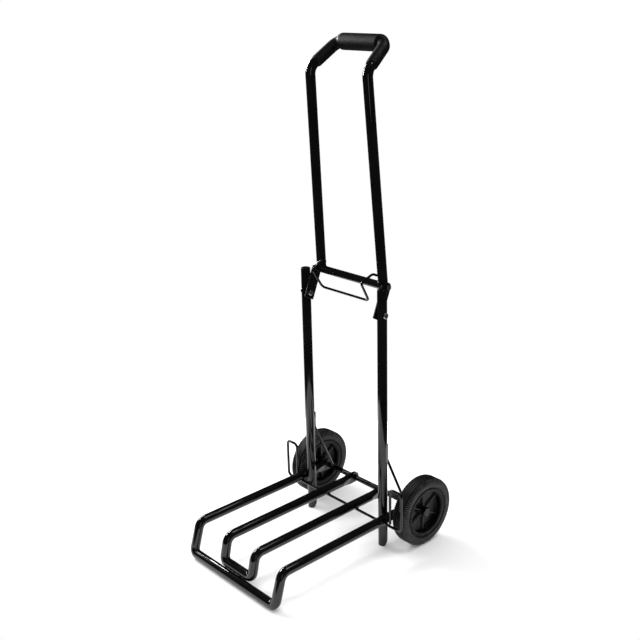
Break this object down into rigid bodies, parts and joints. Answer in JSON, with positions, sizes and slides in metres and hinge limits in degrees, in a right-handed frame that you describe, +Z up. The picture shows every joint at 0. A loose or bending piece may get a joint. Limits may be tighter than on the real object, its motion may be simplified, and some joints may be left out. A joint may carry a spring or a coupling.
{
  "type": "folding hand truck",
  "caption": "Folding tubular hand truck with a forked load deck, wheel guards, solid tyres, a wire cord bail and a handle that folds down behind the posts.",
  "frame": {"origin": "on the floor, in the middle of the footprint", "axes": "+Z up, +X to the right seen from the load side, -Y the load side, +Y the wheel side"},
  "size_m": [0.3632, 0.47, 1.0475],
  "materials": {
    "black_enamel": "gloss black enamel",
    "zinc_steel": "bright zinc plate",
    "tyre_rubber": "matt black rubber",
    "black_plastic": "satin black plastic",
    "nylon": "natural nylon",
    "grip_foam": "closed-cell foam"
  },
  "bodies": {
    "frame": {"axle": "zinc_steel", "axle_washers": "zinc_steel", "guard_rod": "black_enamel", "inner_prong_frame": "black_enamel", "left_axle_spacer": "zinc_steel", "left_brace_rod": "black_enamel", "left_bracket_rivet": "zinc_steel", "left_cap_nut": "zinc_steel", "left_hinge_bracket": "black_enamel", "left_post": "black_enamel", "left_post_cap": "black_plastic", "outer_prong_frame": "black_enamel", "right_axle_spacer": "zinc_steel", "right_brace_rod": "black_enamel", "right_bracket_rivet": "zinc_steel", "right_cap_nut": "zinc_steel", "right_hinge_bracket": "black_enamel", "right_post": "black_enamel", "right_post_cap": "black_plastic"},
    "left_wheel": {"left_tyre": "tyre_rubber", "left_rim": "black_plastic", "left_wheel_bush": "nylon"},
    "right_wheel": {"right_tyre": "tyre_rubber", "right_rim": "black_plastic", "right_wheel_bush": "nylon"},
    "handle": {"handle_cross_tube": "black_enamel", "handle_tube": "black_enamel", "grip": "grip_foam", "left_hinge_plug": "zinc_steel", "right_hinge_plug": "zinc_steel", "left_hinge_bolt": "zinc_steel", "right_hinge_bolt": "zinc_steel"},
    "bail": {"cord_bail": "black_enamel"}
  },
  "joints": [
    {"name": "left_wheel_spin", "type": "hinge", "parent": "frame", "child": "left_wheel", "pos_m": [-0.1616, 0.16, 0.075], "axis": [1, 0, 0], "continuous": true},
    {"name": "right_wheel_spin", "type": "hinge", "parent": "frame", "child": "right_wheel", "pos_m": [0.1616, 0.16, 0.075], "axis": [1, 0, 0], "continuous": true},
    {"name": "handle_fold", "type": "hinge", "parent": "frame", "child": "handle", "pos_m": [0, 0.118, 0.568], "axis": [-1, 0, 0], "range_deg": [0, 180]},
    {"name": "bail_lift", "type": "hinge", "parent": "handle", "child": "bail", "pos_m": [0, 0.11672, 0.587], "axis": [-1, 0, 0], "range_deg": [-35, 110]}
  ]
}
